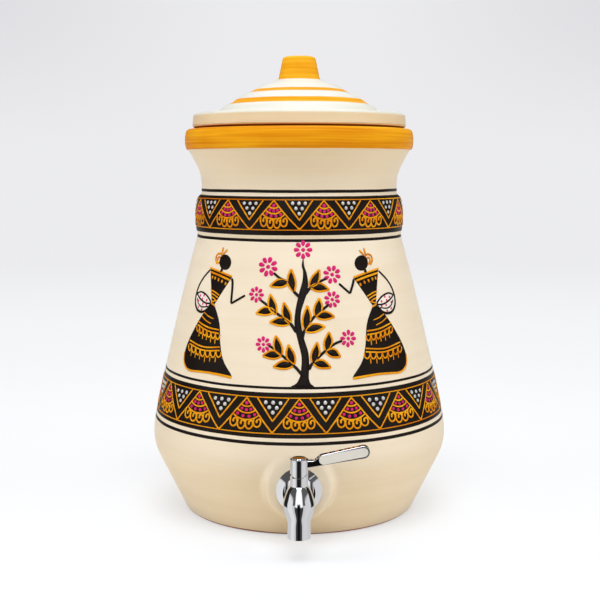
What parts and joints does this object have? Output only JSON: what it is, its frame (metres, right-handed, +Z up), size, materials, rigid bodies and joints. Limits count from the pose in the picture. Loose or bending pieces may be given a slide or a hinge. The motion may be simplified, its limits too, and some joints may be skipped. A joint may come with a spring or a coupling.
{
  "type": "clay water pot with tap",
  "caption": "Painted clay drinking-water pot with a lift-off domed lid, and a chrome quarter-turn lever tap through a flat pad low on its wall.",
  "frame": {"origin": "centre of the pot's flat base, on the surface that it stands on", "axes": "+Z up along the pot's axis, -Y towards the tap, +X to the right of someone facing the tap, where the closed lever points"},
  "size_m": [0.2512, 0.2945, 0.383],
  "materials": {
    "painted_clay": "satin cream paint over fired clay, with ochre rims and painted bands",
    "silicone": "matt translucent silicone",
    "chrome_plate": "polished plating",
    "brass": "turned and threaded",
    "steel": "turned",
    "ptfe": "white, waxy",
    "polished_ball": "mirror polish",
    "black_rubber": "black, smooth",
    "bare_plate": "bare satin plate with no lettering"
  },
  "bodies": {
    "pot": {"pot_body": "painted_clay", "outer_gasket": "silicone", "wall_flange": "chrome_plate", "inlet_shank": "brass", "inner_gasket": "silicone", "inner_washer": "steel", "lock_nut": "brass", "tap_body": "chrome_plate", "inlet_seat": "ptfe", "outlet_seat": "ptfe", "thrust_washer": "ptfe", "gland_bush": "chrome_plate"},
    "lid": {"lid": "painted_clay"},
    "lever": {"lever": "chrome_plate", "lever_plate": "bare_plate", "lever_screw": "chrome_plate", "spindle": "steel", "lower_o_ring": "black_rubber", "upper_o_ring": "black_rubber", "valve_ball": "polished_ball"}
  },
  "joints": [
    {"name": "lid_lift", "type": "slide", "parent": "pot", "child": "lid", "axis": [0, 0, 1], "range_m": [0, 0.15]},
    {"name": "lever_turn", "type": "hinge", "parent": "pot", "child": "lever", "pos_m": [0, -0.157, 0.072], "axis": [0, 0, 1], "range_deg": [-90, 0]}
  ]
}
